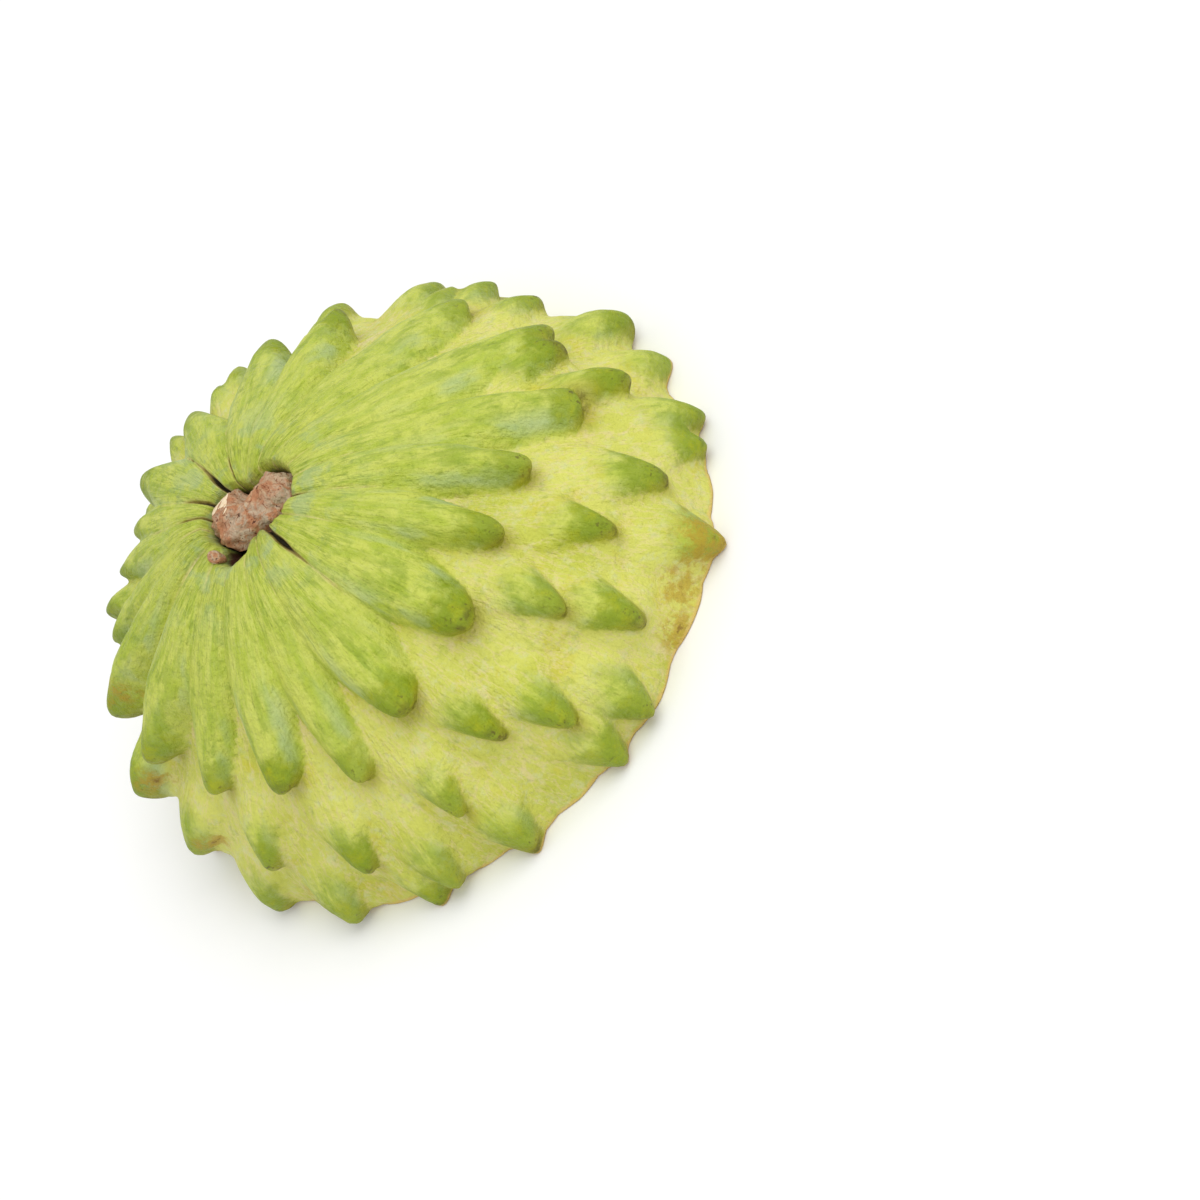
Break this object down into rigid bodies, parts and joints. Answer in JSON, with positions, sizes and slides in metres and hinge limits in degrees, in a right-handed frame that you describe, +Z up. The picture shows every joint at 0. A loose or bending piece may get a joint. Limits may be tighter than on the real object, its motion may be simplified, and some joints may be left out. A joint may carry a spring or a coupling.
{
  "type": "custard apple",
  "caption": "Stem half of a custard apple lying on its cut face: a dome of green, overlapping pointed lobes round a woody stem stub, white flesh and black seeds in the cut.",
  "frame": {"origin": "the point of the flat cut face under the middle of the fruit, on the surface that it lies on", "axes": "+Z up out of the cut face, along the fruit's core towards the stem; -Y towards the side that the picture shows nearest, +X to the right of it"},
  "size_m": [0.1018, 0.1042, 0.0436],
  "materials": {
    "rind_green": "waxy green fruit rind with a pale bloom, yellower between the lobes",
    "flesh_white": "moist creamy white fruit flesh, faintly pink at the pith",
    "seed_black": "glossy black seed coat with faint brown streaks",
    "stem_brown": "rough reddish brown woody stem with a pale broken end"
  },
  "bodies": {
    "root": {"rind": "rind_green", "flesh": "flesh_white", "seed_1": "seed_black", "seed_2": "seed_black", "seed_4": "seed_black", "seed_5": "seed_black", "seed_6": "seed_black", "seed_8": "seed_black", "stem": "stem_brown"}
  },
  "joints": []
}
